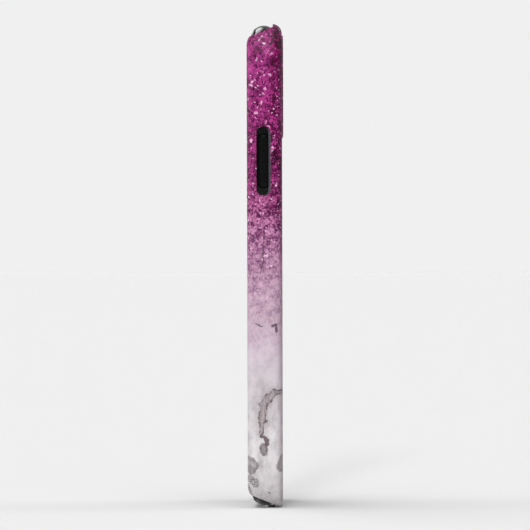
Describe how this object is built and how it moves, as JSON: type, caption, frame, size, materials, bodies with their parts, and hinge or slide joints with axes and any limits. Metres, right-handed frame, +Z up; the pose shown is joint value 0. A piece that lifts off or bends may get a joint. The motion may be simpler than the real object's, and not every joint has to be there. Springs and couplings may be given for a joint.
{
  "type": "phone case",
  "caption": "Slim empty phone case: a printed hard shell, glitter fading into marble, over a dark flexible liner with open ends, button covers that press in and a raised camera lip.",
  "frame": {"origin": "middle of the footprint, at the lowest point of the bottom rear lip", "axes": "+Z up the case's height, +Y from the screen opening towards the back panel, +X towards the long side with the single button"},
  "size_m": [0.0804, 0.0116, 0.1556],
  "materials": {
    "printed_shell": "satin print, magenta glitter fading down into pale marble",
    "liner": "glossy dark flexible plastic",
    "button_covers": "glossy dark flexible plastic"
  },
  "bodies": {
    "case": {"outer_shell": "printed_shell", "inner_liner": "liner"},
    "side_button": {"side_button_cover": "button_covers"},
    "volume_up": {"volume_up_cover": "button_covers"},
    "volume_down": {"volume_down_cover": "button_covers"}
  },
  "joints": [
    {"name": "side_button_press", "type": "slide", "parent": "case", "child": "side_button", "axis": [-1, 0, 0], "range_m": [0, 0.0003], "stiffness_N_per_m": 1500},
    {"name": "volume_up_press", "type": "slide", "parent": "case", "child": "volume_up", "axis": [1, 0, 0], "range_m": [0, 0.0003], "stiffness_N_per_m": 1500},
    {"name": "volume_down_press", "type": "slide", "parent": "case", "child": "volume_down", "axis": [1, 0, 0], "range_m": [0, 0.0003], "stiffness_N_per_m": 1500}
  ]
}
